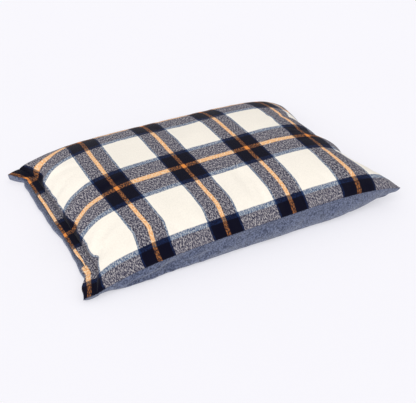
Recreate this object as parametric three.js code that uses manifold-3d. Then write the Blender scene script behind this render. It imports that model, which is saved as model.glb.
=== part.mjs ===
// Pillow-style pet bed: a sewn cover of two panels around a filled inner cushion, closed at one short
// end by a zip that stands in a recess under a folded flap.
// Millimetres, +Z up. +X runs along the bed (the zip is at the -X end), +Y towards its back.
import * as THREE from "three";
import { mergeVertices } from "three/addons/utils/BufferGeometryUtils.js";
import Module from "manifold-3d";

const wasm = await Module();
wasm.setup();

// ---- Driving dimensions ----
const LENGTH = 956; // corner tip to corner tip
const WIDTH = 632;
const FABRIC = 1.2; // thickness of the cover's cloth
const GAP = 0.3; // between pieces that touch

// Heights of the seam above the floor.
const FRONT_HEIGHT = 66; // in the middle of the front
const BACK_HEIGHT = 52;
const END_HEIGHT = 46; // in the middle of the plain end
const ZIP_CORNER_HEIGHT = 18; // at both corners of the zip end
const FRONT_CORNER_HEIGHT = 40; // the plain end's front corner turns up
const BACK_CORNER_HEIGHT = 16;

const CROWN = 70; // from the seam's height to the top of the bed
const BELLY = 125; // the depth the underside would have without the floor
const SIDE_PULL = 12; // how far the middle of a long side is drawn in
const END_PULL = 30; // the same at the plain end
const FLARE = 36; // how far the zip end's corners stand out

const VALLEY_X = -406; // the crease where the flap begins
const VALLEY_HEIGHT = 30.6;
const HEM_WIDTH = 36; // flat hem between the crease and the zip end's edge
const MOUTH_HALF = 246; // half the length of the zip's mouth
const MOUTH_END = 292; // where the two panels meet again
const ROLL_HEIGHT = 16.3; // rolled edge of the underside, in front of the zip
const LEDGE_HEIGHT = 12; // behind the roll, where the lower tape is sewn
const LEDGE_WIDTH = 21;

const FLAP_REACH = 24;
const FLAP_THICKNESS = 2.4; // folded double
const FLAP_LIFT = 1.4; // height of the flap's root above the cover's inner face
const FLAP_DROOP = 3.5; // from its root to its folded edge

const ZIP_X = -417; // plane of the tapes
const ZIP_MIDDLE = 20; // height of the closed chain
const ZIP_HALF = 238;
const TAPE = 0.6;
const TAPE_SPLIT = 1.2; // half the gap between the tapes' edges
const COIL_HALF = 2.85; // half the width of the closed chain
const COIL_DEPTH = 2.6;
const SLIDER_Y = 208; // the slider at rest, at the closed end
const SLIDER_LENGTH = 11;
const SLIDER_WIDTH = 9.2;
const PLATE = 1.3;
const TAB_LENGTH = 22;
const TAB_WIDTH = 6;
const TAB_THICKNESS = 1.2;

const CASE_INSET = 16; // from the cover's seam to the inner cushion's
const CASE_RIM = 3; // half the height of the inner cushion's upright rim
const CASE_END_HEIGHT = 22; // of the inner cushion's seam beside the zip
const CASE_CLOTH = 0.9;

const PLAID = new THREE.Color(0.32, 0.31, 0.36);
const MARL = new THREE.Color(0.3, 0.35, 0.45);
const NAVY = new THREE.Color(0.06, 0.07, 0.14);
const WHITE = new THREE.Color(0.9, 0.9, 0.88);

const clothMaterial = (color) => new THREE.MeshStandardMaterial({ color, roughness: 0.95, metalness: 0 });
const nylonMaterial = () => new THREE.MeshStandardMaterial({ color: NAVY, roughness: 0.5, metalness: 0 });
const metalMaterial = () => new THREE.MeshStandardMaterial({ color: 0x9a9a9c, roughness: 0.3, metalness: 1 });

// ---- Small helpers ----
const smooth = (from, to, value) => THREE.MathUtils.smoothstep(value, from, to);
const dome = (value, power, root) => Math.pow(Math.max(0, 1 - Math.pow(Math.abs(value), power)), root);

function solidOf(geometry) {
  const bare = geometry.index ? geometry.toNonIndexed() : geometry.clone();
  bare.deleteAttribute("normal");
  bare.deleteAttribute("uv");
  const merged = mergeVertices(bare, 1e-4);
  const mesh = new wasm.Mesh({
    numProp: 3,
    vertProperties: new Float32Array(merged.attributes.position.array),
    triVerts: new Uint32Array(merged.index.array),
  });
  return new wasm.Manifold(mesh);
}

function geometryOf(solid) {
  const mesh = solid.getMesh();
  const geometry = new THREE.BufferGeometry();
  geometry.setAttribute("position", new THREE.BufferAttribute(mesh.vertProperties, 3));
  geometry.setIndex(new THREE.BufferAttribute(mesh.triVerts, 1));
  return geometry;
}

// A box between two corners.
function block(low, high) {
  const size = high.map((value, axis) => value - low[axis]);
  const middle = high.map((value, axis) => (value + low[axis]) / 2);
  return new THREE.BoxGeometry(...size).translate(...middle);
}

// A section drawn in X and Z, run along Y between two ends.
function sweepAlongY(points, fromY, toY) {
  const shape = new THREE.Shape(points.map(([x, z]) => new THREE.Vector2(x, z)));
  const settings = { depth: toY - fromY, bevelEnabled: false, curveSegments: 8 };
  return new THREE.ExtrudeGeometry(shape, settings).rotateX(Math.PI / 2).translate(0, toY, 0);
}

// ---- Surfaces of the bed, over a square of along (-1..1) and across (-1..1) ----
const flare = (across) => FLARE * Math.pow(Math.max(0, (Math.abs(across) - 0.76) / 0.24), 1.5);

// One side's seam: straight between its corners, and raised to its middle height.
function sideHeight(place, from, to, middle, power) {
  const straight = THREE.MathUtils.lerp(from, to, (place + 1) / 2);
  return straight + (middle - (from + to) / 2) * (1 - Math.pow(Math.abs(place), power));
}

// Height of the seam's surface, a patch between the four sides. zipEnd is the height in the middle
// of the zip end.
function seamHeight(along, across, zipEnd) {
  const u = (along + 1) / 2;
  const v = (across + 1) / 2;
  const front = sideHeight(along, ZIP_CORNER_HEIGHT, FRONT_CORNER_HEIGHT, FRONT_HEIGHT, 4);
  const back = sideHeight(along, ZIP_CORNER_HEIGHT, BACK_CORNER_HEIGHT, BACK_HEIGHT, 4);
  const left = sideHeight(across, ZIP_CORNER_HEIGHT, ZIP_CORNER_HEIGHT, zipEnd, 3);
  const right = sideHeight(across, FRONT_CORNER_HEIGHT, BACK_CORNER_HEIGHT, END_HEIGHT, 3);
  const rightCorners = THREE.MathUtils.lerp(FRONT_CORNER_HEIGHT, BACK_CORNER_HEIGHT, v);
  const corners = THREE.MathUtils.lerp(ZIP_CORNER_HEIGHT, rightCorners, u);
  return (1 - v) * front + v * back + (1 - u) * left + u * right - corners;
}

// How full the bed is across its width, 0 at the seams and 1 in the middle.
const fullness = (across) => (across < 0 ? dome(across, 1.35, 0.4) : dome(across, 2, 0.42));

function planPoint(along, across, inset) {
  const left = VALLEY_X - flare(across) + inset;
  const right = LENGTH / 2 - END_PULL * (1 - across * across) - inset;
  const half = WIDTH / 2 - SIDE_PULL * (1 - Math.pow(along, 4)) - inset;
  return [THREE.MathUtils.lerp(left, right, (along + 1) / 2), across * half];
}

// Inner face of the cover's upper panel; the zip end falls into a crease and runs on as a flat hem.
function coverTop(along, across, hem) {
  const [x, y] = planPoint(along, across, 0);
  const slope = along < 0 ? dome(along, 8, 0.4) : dome(along, 5.5, 0.6);
  const height = seamHeight(along, across, VALLEY_HEIGHT) + CROWN * slope * fullness(across);
  return new THREE.Vector3(x - hem * HEM_WIDTH, y, height + GAP / 2);
}

// Inner face of the underside; it is flat where it lies on the floor, and low under the zip's mouth.
function coverBottom(along, across, hem) {
  const [x, y] = planPoint(along, across, 0);
  const meet = smooth(MOUTH_HALF, MOUTH_END, Math.abs(y));
  const mouth = THREE.MathUtils.lerp(FABRIC, VALLEY_HEIGHT, meet);
  const depth = BELLY * dome(along, 6, 0.5) * dome(across, 6, 0.5);
  const height = seamHeight(along, across, mouth) - depth - GAP / 2;
  const open = along < 0 ? (1 - meet) * Math.pow(-along, 8) : 0;
  const lowered = THREE.MathUtils.lerp(height, FABRIC, open);
  return new THREE.Vector3(x - hem * HEM_WIDTH, y, Math.max(FABRIC, lowered));
}

// Surface of the inner cushion, shrunk by depth; side is 1 above the seam and -1 below it.
// Steps past 1 are its upright rim.
function cushionSurface(side, depth) {
  return (along, across) => {
    const onRim = Math.max(Math.abs(along), Math.abs(across)) > 1;
    const a = THREE.MathUtils.clamp(along, -1, 1);
    const c = THREE.MathUtils.clamp(across, -1, 1);
    const [x, y] = planPoint(a, c, CASE_INSET + depth + (onRim ? 0 : 0.5));
    const seam = seamHeight(a, c, CASE_END_HEIGHT) + side * GAP / 2;
    if (onRim) return new THREE.Vector3(x, y, seam);
    const rise = CASE_RIM - depth + (CROWN - 8) * dome(a, 3.5, 0.55) * fullness(c);
    const fall = CASE_RIM - depth + BELLY * dome(a, 5, 0.5) * dome(c, 5, 0.5);
    const floor = FABRIC + GAP + depth;
    return new THREE.Vector3(x, y, side > 0 ? seam + rise : Math.max(floor, seam - fall));
  };
}

// ---- Closed bodies made of two grids and the walls between their edges ----
// Steps from -1 to 1, closer together towards both ends.
const roundSteps = (count) =>
  Array.from({ length: count + 1 }, (_, i) => Math.sin(Math.PI * (i / count - 0.5)));

function gridPoints(surface, columns, rows) {
  return columns.map((column) => rows.map((across) => surface(column.along, across, column.hem)));
}

function gridNormals(points) {
  const last = [points.length - 1, points[0].length - 1];
  return points.map((line, i) =>
    line.map((_, j) => {
      const alongX = points[Math.min(i + 1, last[0])][j].clone().sub(points[Math.max(i - 1, 0)][j]);
      const alongY = points[i][Math.min(j + 1, last[1])].clone().sub(points[i][Math.max(j - 1, 0)]);
      return alongX.cross(alongY).normalize();
    }),
  );
}

// The upper grid faces up, the lower one faces down, and walls join their edges.
function closedBody(upper, lower) {
  const wide = upper.length;
  const deep = upper[0].length;
  const positions = [...upper.flat(), ...lower.flat()].flatMap((point) => point.toArray());
  const top = (i, j) => i * deep + j;
  const bottom = (i, j) => wide * deep + i * deep + j;
  const faces = [];
  const quad = (a, b, c, d) => faces.push(a, b, c, a, c, d);
  for (let i = 0; i < wide - 1; i++) {
    for (let j = 0; j < deep - 1; j++) {
      quad(top(i, j), top(i + 1, j), top(i + 1, j + 1), top(i, j + 1));
      quad(bottom(i, j), bottom(i, j + 1), bottom(i + 1, j + 1), bottom(i + 1, j));
    }
    quad(bottom(i, 0), bottom(i + 1, 0), top(i + 1, 0), top(i, 0));
    quad(top(i, deep - 1), top(i + 1, deep - 1), bottom(i + 1, deep - 1), bottom(i, deep - 1));
  }
  for (let j = 0; j < deep - 1; j++) {
    quad(top(0, j), top(0, j + 1), bottom(0, j + 1), bottom(0, j));
    quad(bottom(wide - 1, j), bottom(wide - 1, j + 1), top(wide - 1, j + 1), top(wide - 1, j));
  }
  const geometry = new THREE.BufferGeometry();
  geometry.setAttribute("position", new THREE.Float32BufferAttribute(positions, 3));
  geometry.setIndex(faces);
  return geometry;
}

const COVER_ROWS = roundSteps(16);
const COVER_COLUMNS = [
  { along: -1, hem: 1 },
  { along: -1, hem: 0.5 },
  ...roundSteps(22).map((along) => ({ along, hem: 0 })),
];
const CASE_ROWS = [-1.02, ...roundSteps(14), 1.02];
const CASE_COLUMNS = [-1.02, ...roundSteps(18), 1.02].map((along) => ({ along, hem: 0 }));

// ---- The cover ----
function topPanel() {
  const inside = gridPoints(coverTop, COVER_COLUMNS, COVER_ROWS);
  const normals = gridNormals(inside);
  const outside = inside.map((line, i) =>
    line.map((point, j) => point.clone().addScaledVector(normals[i][j], FABRIC)),
  );
  const mouth = block([-LENGTH, -MOUTH_HALF, -1], [VALLEY_X, MOUTH_HALF, VALLEY_HEIGHT * 2]);
  return geometryOf(solidOf(closedBody(outside, inside)).subtract(solidOf(mouth)));
}

function bottomPanel() {
  const inside = gridPoints(coverBottom, COVER_COLUMNS, COVER_ROWS);
  const normals = gridNormals(inside);
  const outside = inside.map((line, i) =>
    line.map((point, j) => point.clone().addScaledVector(normals[i][j], -FABRIC)),
  );
  const shell = solidOf(closedBody(inside, outside));
  return geometryOf(shell.add(solidOf(rolledEdge())));
}

// The underside's hem, rolled up in front of the zip, with a lower ledge behind the roll.
function rolledEdge() {
  const outer = VALLEY_X - HEM_WIDTH;
  const base = FABRIC / 2;
  const profile = new THREE.Shape();
  profile.moveTo(VALLEY_X - 1, base);
  profile.lineTo(VALLEY_X - 1, LEDGE_HEIGHT);
  profile.lineTo(VALLEY_X - LEDGE_WIDTH, LEDGE_HEIGHT);
  profile.lineTo(VALLEY_X - LEDGE_WIDTH - 2, ROLL_HEIGHT);
  profile.lineTo(outer + 8, ROLL_HEIGHT);
  profile.bezierCurveTo(outer - 2, ROLL_HEIGHT, outer - 2, base, outer + 8, base);
  const points = profile.getPoints(6).map((point) => [point.x, point.y]);
  return sweepAlongY(points, -MOUTH_HALF, MOUTH_HALF);
}

// The overlock thread inside the cover, along one seam of the square: from and to are [along, across].
function seamThread(from, to) {
  const inset = FABRIC + 2.6;
  const points = Array.from({ length: 9 }, (_, i) => {
    const along = THREE.MathUtils.lerp(from[0], to[0], i / 8);
    const across = THREE.MathUtils.lerp(from[1], to[1], i / 8);
    const [x, y] = planPoint(along, across, inset);
    return new THREE.Vector3(x, y, seamHeight(along, across, VALLEY_HEIGHT));
  });
  const section = new THREE.Shape().absarc(0, 0, 0.8, 0, Math.PI * 2);
  const extrudePath = new THREE.CatmullRomCurve3(points);
  return new THREE.ExtrudeGeometry(section, { steps: 24, curveSegments: 4, extrudePath });
}

// ---- The flap over the zip ----
function zipFlap() {
  const low = VALLEY_HEIGHT + FLAP_LIFT - FLAP_THICKNESS;
  const high = VALLEY_HEIGHT + FLAP_LIFT;
  const root = VALLEY_X - GAP;
  const edge = VALLEY_X - FLAP_REACH;
  const profile = [
    [root, low],
    [root, high],
    [edge + 1, high - FLAP_DROOP],
    [edge, (low + high) / 2 - FLAP_DROOP],
    [edge + 1, low - FLAP_DROOP],
  ];
  return sweepAlongY(profile, -MOUTH_HALF + 1, MOUTH_HALF - 1);
}

function flapThread() {
  const fromEdge = 5;
  const x = VALLEY_X - FLAP_REACH + fromEdge;
  const z = VALLEY_HEIGHT + FLAP_LIFT - FLAP_DROOP * (1 - fromEdge / FLAP_REACH) + 2 * GAP;
  return block([x - 0.4, -MOUTH_HALF + 4, z], [x + 0.4, MOUTH_HALF - 4, z + 0.4]);
}

// ---- The zip ----
// Both tapes stand in one plane behind the chain and turn inwards to where they are sewn.
function zipTape(side) {
  const sewn = side > 0 ? VALLEY_HEIGHT - 3.4 : LEDGE_HEIGHT + GAP + TAPE / 2;
  const inner = ZIP_MIDDLE + side * TAPE_SPLIT;
  const half = TAPE / 2;
  const turn = VALLEY_X - 2;
  const profile = [
    [ZIP_X - half, inner],
    [ZIP_X - half, sewn + side * half],
    [turn, sewn + side * half],
    [turn, sewn - side * half],
    [ZIP_X + half, sewn - side * half],
    [ZIP_X + half, inner],
  ];
  return sweepAlongY(side > 0 ? profile : profile.reverse(), -ZIP_HALF, ZIP_HALF);
}

// Outer shape of one half of the nylon coil, sewn along its tape's edge.
function zipCoil(side) {
  const front = ZIP_X - TAPE / 2 - GAP;
  const near = ZIP_MIDDLE + side * GAP / 2;
  const far = ZIP_MIDDLE + side * COIL_HALF;
  const bevel = 0.6;
  const profile = [
    [front, near],
    [front, far],
    [front - COIL_DEPTH + bevel, far],
    [front - COIL_DEPTH, far - side * bevel],
    [front - COIL_DEPTH, near],
  ];
  const end = SLIDER_Y + SLIDER_LENGTH / 2 - 3.6;
  return sweepAlongY(side > 0 ? profile : profile.reverse(), -ZIP_HALF + 14, end);
}

// A clip pinched on one tape's edge, which stops the slider at the closed end.
function topStop(side) {
  const y = SLIDER_Y + SLIDER_LENGTH / 2 + 1;
  const inner = ZIP_MIDDLE + side * 0.5;
  const outer = ZIP_MIDDLE + side * 3.2;
  const low = Math.min(inner, outer);
  const high = Math.max(inner, outer);
  const clip = solidOf(block([ZIP_X - 2.2, y, low], [ZIP_X + 1.4, y + 4, high]));
  const slotLow = side > 0 ? ZIP_MIDDLE + TAPE_SPLIT - GAP : low - 1;
  const slotHigh = side > 0 ? high + 1 : ZIP_MIDDLE - TAPE_SPLIT + GAP;
  const slot = block([ZIP_X - 0.6, y - 1, slotLow], [ZIP_X + 0.6, y + 5, slotHigh]);
  return geometryOf(clip.subtract(solidOf(slot)));
}

// A clip across both coils, which stops the slider at the open end.
function bottomStop() {
  const front = ZIP_X - TAPE / 2 - GAP;
  const low = [front - COIL_DEPTH, -ZIP_HALF + 8, ZIP_MIDDLE - 3.4];
  return block(low, [front, -ZIP_HALF + 13, ZIP_MIDDLE + 3.4]);
}

const SLIDER_BACK = ZIP_X + TAPE / 2 + 0.4; // inner face of the plate behind the tapes
const SLIDER_FRONT = ZIP_X - TAPE / 2 - GAP - COIL_DEPTH - 0.4; // inner face of the plate before the coils
const HINGE_X = SLIDER_FRONT - PLATE - 1.3; // axis of the pull tab

// Two plates joined by a wedge; flanges on the front plate hold the coils.
function sliderBody() {
  const half = SLIDER_WIDTH / 2;
  const fromY = SLIDER_Y - SLIDER_LENGTH / 2;
  const toY = SLIDER_Y + SLIDER_LENGTH / 2;
  const front = block(
    [SLIDER_FRONT - PLATE, fromY, ZIP_MIDDLE - half],
    [SLIDER_FRONT, toY, ZIP_MIDDLE + half],
  );
  const back = block(
    [SLIDER_BACK, fromY, ZIP_MIDDLE - half],
    [SLIDER_BACK + PLATE, toY, ZIP_MIDDLE + half],
  );
  const slit = ZIP_X - TAPE / 2 - 0.4;
  const upper = block(
    [SLIDER_FRONT - 0.1, fromY, ZIP_MIDDLE + COIL_HALF + 0.4],
    [slit, toY, ZIP_MIDDLE + half],
  );
  const lower = block(
    [SLIDER_FRONT - 0.1, fromY, ZIP_MIDDLE - half],
    [slit, toY, ZIP_MIDDLE - COIL_HALF - 0.4],
  );
  const wedge = block(
    [SLIDER_FRONT - 0.1, toY - 3, ZIP_MIDDLE - 0.8],
    [SLIDER_BACK + 0.1, toY, ZIP_MIDDLE + 0.8],
  );
  return [front, back, upper, lower, wedge, bail()].map(solidOf).reduce((all, piece) => all.add(piece));
}

// The bridge on the front plate that the pull tab hangs from.
function bail() {
  const plate = SLIDER_FRONT - PLATE;
  const profile = new THREE.Shape();
  profile.moveTo(plate + 0.1, SLIDER_Y - 2.9);
  profile.lineTo(plate + 0.1, SLIDER_Y + 2.9);
  profile.lineTo(plate - 2, SLIDER_Y + 2.9);
  profile.lineTo(plate - 3.3, SLIDER_Y + 2);
  profile.lineTo(plate - 3.3, SLIDER_Y - 2);
  profile.lineTo(plate - 2, SLIDER_Y - 2.9);
  const eye = new THREE.Path();
  eye.moveTo(plate - 0.1, SLIDER_Y - 1.9);
  eye.lineTo(plate - 2.3, SLIDER_Y - 1.9);
  eye.lineTo(plate - 2.3, SLIDER_Y + 1.9);
  eye.lineTo(plate - 0.1, SLIDER_Y + 1.9);
  profile.holes.push(eye);
  const settings = { depth: 1.6, bevelEnabled: false };
  return new THREE.ExtrudeGeometry(profile, settings).translate(0, 0, ZIP_MIDDLE - 0.8);
}

// The pull tab lies along the zip, with the bail through its eye; its far end has a rounded outline.
function pullTab() {
  const half = TAB_WIDTH / 2;
  const bar = TAB_THICKNESS / 2;
  const outline = new THREE.Shape();
  outline.moveTo(bar, -half + 0.6);
  outline.lineTo(bar, half - 0.6);
  outline.lineTo(0, half);
  outline.lineTo(-TAB_LENGTH + half, half);
  outline.absarc(-TAB_LENGTH + half, 0, half, Math.PI / 2, -Math.PI / 2 + Math.PI * 2, false);
  outline.lineTo(0, -half);
  const eye = new THREE.Path();
  eye.moveTo(-bar, -1.5);
  eye.lineTo(-4.6, -1.5);
  eye.lineTo(-4.6, 1.5);
  eye.lineTo(-bar, 1.5);
  outline.holes.push(eye);
  const settings = { depth: TAB_THICKNESS, bevelEnabled: false, curveSegments: 8 };
  const tab = new THREE.ExtrudeGeometry(outline, settings).translate(0, 0, -TAB_THICKNESS / 2);
  const toZip = new THREE.Matrix4().makeBasis(
    new THREE.Vector3(0, 1, 0),
    new THREE.Vector3(0, 0, 1),
    new THREE.Vector3(1, 0, 0),
  );
  return tab.applyMatrix4(toZip).translate(HINGE_X, SLIDER_Y, ZIP_MIDDLE);
}

// A blank label sewn into the recess behind the zip.
function careLabel() {
  const x = VALLEY_X - 4;
  return block([x - 0.2, -180, LEDGE_HEIGHT + 1.5], [x + 0.2, -145, VALLEY_HEIGHT - 4.6]);
}

// ---- The inner cushion ----
function innerCase(side) {
  const outer = gridPoints(cushionSurface(side, 0), CASE_COLUMNS, CASE_ROWS);
  const inner = gridPoints(cushionSurface(side, CASE_CLOTH), CASE_COLUMNS, CASE_ROWS);
  return side > 0 ? closedBody(outer, inner) : closedBody(inner, outer);
}

function fibreFill() {
  const depth = CASE_CLOTH + 0.6;
  const upper = gridPoints(cushionSurface(1, depth), CASE_COLUMNS, CASE_ROWS);
  const lower = gridPoints(cushionSurface(-1, depth), CASE_COLUMNS, CASE_ROWS);
  return closedBody(upper, lower);
}

// ---- The assembly ----
const bed = new THREE.Group();

function addPart(name, geometry, material) {
  const mesh = new THREE.Mesh(geometry, material);
  mesh.name = name;
  bed.add(mesh);
}

addPart("top_panel", topPanel(), clothMaterial(PLAID));
addPart("bottom_panel", bottomPanel(), clothMaterial(MARL));
addPart("front_seam_thread", seamThread([-0.9, -1], [0.9, -1]), clothMaterial(NAVY));
addPart("back_seam_thread", seamThread([-0.9, 1], [0.9, 1]), clothMaterial(NAVY));
addPart("end_seam_thread", seamThread([1, -0.85], [1, 0.85]), clothMaterial(NAVY));
addPart("zip_flap", zipFlap(), clothMaterial(PLAID));
addPart("flap_thread", flapThread(), clothMaterial(NAVY));
addPart("zip_tape_upper", zipTape(1), clothMaterial(NAVY));
addPart("zip_tape_lower", zipTape(-1), clothMaterial(NAVY));
addPart("zip_coil_upper", zipCoil(1), nylonMaterial());
addPart("zip_coil_lower", zipCoil(-1), nylonMaterial());
addPart("zip_top_stop_upper", topStop(1), metalMaterial());
addPart("zip_top_stop_lower", topStop(-1), metalMaterial());
addPart("zip_bottom_stop", bottomStop(), metalMaterial());
addPart("zip_slider", geometryOf(sliderBody()), metalMaterial());
addPart("zip_pull_tab", pullTab(), metalMaterial());
addPart("care_label", careLabel(), clothMaterial(WHITE));
addPart("inner_case_top", innerCase(1), clothMaterial(WHITE));
addPart("inner_case_bottom", innerCase(-1), clothMaterial(WHITE));
addPart("fibre_fill", fibreFill(), clothMaterial(WHITE));

export default bed;
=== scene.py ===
# %% [markdown]
# # A stuffed pet bed, built round its fixed frame
# The bed is a big soft pillow: a brushed plaid cloth on top, a blue marl fleece underneath,
# and a zip under a flap at one short end. The frame gives the exact size of every part, so
# the soft pieces here are drawn in the same place, with the folds and puckers that a frame
# of solids leaves out. Everything is in metres, X along the bed and Z up from the floor.

import math

import bpy
import numpy as np
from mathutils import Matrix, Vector, noise
from mathutils.bvhtree import BVHTree


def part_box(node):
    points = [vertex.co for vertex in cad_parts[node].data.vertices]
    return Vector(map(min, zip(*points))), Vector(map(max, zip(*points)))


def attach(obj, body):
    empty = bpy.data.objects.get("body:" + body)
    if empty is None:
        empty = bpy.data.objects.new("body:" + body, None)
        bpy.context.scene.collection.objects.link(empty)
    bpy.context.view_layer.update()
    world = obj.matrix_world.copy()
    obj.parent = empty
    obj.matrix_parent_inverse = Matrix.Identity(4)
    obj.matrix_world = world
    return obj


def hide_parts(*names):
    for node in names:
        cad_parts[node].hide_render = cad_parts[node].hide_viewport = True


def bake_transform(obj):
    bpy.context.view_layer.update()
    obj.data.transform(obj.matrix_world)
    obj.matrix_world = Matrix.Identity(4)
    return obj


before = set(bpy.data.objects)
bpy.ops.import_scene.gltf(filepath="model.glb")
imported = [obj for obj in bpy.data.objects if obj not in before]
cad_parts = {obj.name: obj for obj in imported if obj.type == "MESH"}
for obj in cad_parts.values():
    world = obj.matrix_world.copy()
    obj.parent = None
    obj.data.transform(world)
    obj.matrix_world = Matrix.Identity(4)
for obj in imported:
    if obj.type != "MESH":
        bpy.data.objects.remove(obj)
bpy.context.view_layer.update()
scene = bpy.context.scene

# %% [markdown]
# ## Camera
# The bed is looked at from the front left and from above. A long lens far away keeps its
# long sides nearly parallel. The camera is placed by a turn, a lift and a distance from
# the point it looks at, which is easier to adjust than three coordinates. Lights are aimed
# in the same way.

# %% Camera
CAMERA_TURN, CAMERA_LIFT = -27.55, 34.17  # degrees
CAMERA_DISTANCE = 2.637
CAMERA_AIM = Vector((0.0213, -0.0218, -0.0298))
LENS, SENSOR_WIDTH = 78.28, 36.0  # millimetres


def direction(turn, lift):
    """A unit vector from a turn about Z, 0 at the front, and a lift from the floor."""
    a, e = math.radians(turn), math.radians(lift)
    return Vector((math.sin(a) * math.cos(e), -math.cos(a) * math.cos(e), math.sin(e)))


def place_and_aim(obj, towards, at=Vector()):
    """Puts a camera or light in the scene, looking the other way from towards."""
    obj.location = at
    obj.rotation_mode = "QUATERNION"
    obj.rotation_quaternion = (-towards).to_track_quat("-Z", "Y")
    scene.collection.objects.link(obj)


lens = bpy.data.cameras.new("camera")
lens.lens, lens.sensor_width = LENS, SENSOR_WIDTH
lens.clip_start, lens.clip_end = 0.05, 50
camera = bpy.data.objects.new("camera", lens)
towards_camera = direction(CAMERA_TURN, CAMERA_LIFT)
place_and_aim(camera, towards_camera, CAMERA_AIM + towards_camera * CAMERA_DISTANCE)
scene.camera = camera
print("camera at", tuple(round(c, 3) for c in camera.location))

# %% [markdown]
# ## Floor and light
# A bed like this is shown on a white sweep with soft light from everywhere. The world gives
# an even white light. A very wide sun gives the slope of light from the upper left, and a
# weak one fills the other side. A sun has no falloff, so the floor stays even to its edges.

# %% Floor and light
FLOOR_HALF, FLOOR_Z = 14.0, -0.0004
WORLD_COLOR, WORLD_STRENGTH = (0.975, 0.98, 1.0, 1), 0.62
scene.view_settings.view_transform = "Standard"
world = bpy.data.worlds.new("studio")
world.use_nodes = True
sky = world.node_tree.nodes["Background"].inputs
sky["Color"].default_value, sky["Strength"].default_value = WORLD_COLOR, WORLD_STRENGTH
scene.world = world


def add_sun(name, turn, lift, spread, strength, color):
    """A sun that shines from a turn and a lift, as wide as spread, all in degrees."""
    data = bpy.data.lights.new(name, "SUN")
    data.energy, data.angle, data.color = strength, math.radians(spread), color
    place_and_aim(bpy.data.objects.new(name, data), direction(turn, lift))


def link_mesh(name, points, faces):
    """An object in the scene with a smooth mesh, from points and lists of point numbers."""
    mesh = bpy.data.meshes.new(name)
    mesh.from_pydata(np.asarray(points).tolist(), [], faces)
    mesh.polygons.foreach_set("use_smooth", np.ones(len(mesh.polygons), bool))
    obj = bpy.data.objects.new(name, mesh)
    scene.collection.objects.link(obj)
    return obj


add_sun("key", -45, 44, 60, 1.45, (1.0, 0.985, 0.955))
add_sun("fill", 40, 70, 90, 0.22, (0.95, 0.97, 1.0))
signs = ((-1, -1), (1, -1), (1, 1), (-1, 1))
corners = [(x * FLOOR_HALF, y * FLOOR_HALF, FLOOR_Z) for x, y in signs]
floor = link_mesh("floor", corners, [(0, 1, 2, 3)])
print("floor", FLOOR_HALF * 2, "m wide")

# %% [markdown]
# ## Small tools for node trees
# Every finish below is a tree of nodes. These helpers add one node, set or link its inputs,
# and return it, so that a tree reads as a short list of steps. Each material starts from a
# place, which is where its patterns are looked up, and ends with a surface: a colour and a
# height that go to its shader.


# %% Node tools
def add(tree, kind, inputs=None, **settings):
    """Adds a node; an input given as a socket is linked, and any other value is set."""
    node = tree.nodes.new(kind)
    for key, value in settings.items():
        setattr(node, key, value)
    for key, value in (inputs or {}).items():
        if isinstance(value, bpy.types.NodeSocket):
            tree.links.new(value, node.inputs[key])
        else:
            node.inputs[key].default_value = value
    return node


def math_node(tree, operation, a, b=0.5, c=0.0):
    return add(tree, "ShaderNodeMath", {0: a, 1: b, 2: c}, operation=operation).outputs[0]


def vector_math(tree, operation, a, b=(0, 0, 0)):
    return add(tree, "ShaderNodeVectorMath", {0: a, 1: b}, operation=operation).outputs[0]


def scaled(tree, vector, amount):
    return add(tree, "ShaderNodeVectorMath", {0: vector, 3: amount}, operation="SCALE").outputs[0]


def divided(tree, vector, size):
    return scaled(tree, vector, math_node(tree, "DIVIDE", 1.0, size))


def mapped(tree, vector, turn=(0, 0, 0), scale=(1, 1, 1)):
    return add(tree, "ShaderNodeMapping", {0: vector, 2: turn, 3: scale}).outputs[0]


def mix_color(tree, share, a, b):
    return add(tree, "ShaderNodeMix", {0: share, 6: a, 7: b}, data_type="RGBA").outputs[2]


def mix_value(tree, share, a, b):
    return add(tree, "ShaderNodeMix", {0: share, 2: a, 3: b}, data_type="FLOAT").outputs[0]


def ramp(tree, value, stops):
    """A colour ramp from (place, colour) pairs."""
    node = add(tree, "ShaderNodeValToRGB", {0: value})
    elements = node.color_ramp.elements
    while len(elements) < len(stops):
        elements.new(0.5)
    for element, (place, color) in zip(elements, stops):
        element.position, element.color = place, color
    return node.outputs[0]


def new_group(name, inputs, outputs):
    """An empty shader group with named sockets: (name, type, default) and (name, type)."""
    tree = bpy.data.node_groups.new(name, "ShaderNodeTree")
    for label, kind, value in inputs:
        socket = tree.interface.new_socket(label, in_out="INPUT", socket_type="NodeSocket" + kind)
        socket.default_value = value
    for label, kind in outputs:
        tree.interface.new_socket(label, in_out="OUTPUT", socket_type="NodeSocket" + kind)
    return tree, tree.nodes.new("NodeGroupInput").outputs, tree.nodes.new("NodeGroupOutput").inputs


def use(tree, group, inputs):
    return add(tree, "ShaderNodeGroup", inputs, node_tree=group).outputs


def grainy(tree, place, size, contrast):
    return use(tree, grain, {"Cloth": place, "Size": size, "Contrast": contrast})["Grain"]


def faded(tree, place, size):
    return use(tree, fading, {"Place": place, "Size": size})["Tone"]


def worn_edges(tree, place, amount):
    return use(tree, rubbed, {"Place": place, "Amount": amount})["Mask"]


def woven(tree, place, thread, slant):
    return use(tree, weave, {"Cloth": place, "Thread": thread, "Slant": slant})


def srgb(hex_code):
    """A web colour as the linear colour that nodes use."""
    parts = [int(hex_code[i : i + 2], 16) / 255 for i in (0, 2, 4)]
    return (*(c / 12.92 if c <= 0.04045 else ((c + 0.055) / 1.055) ** 2.4 for c in parts), 1)


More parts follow.
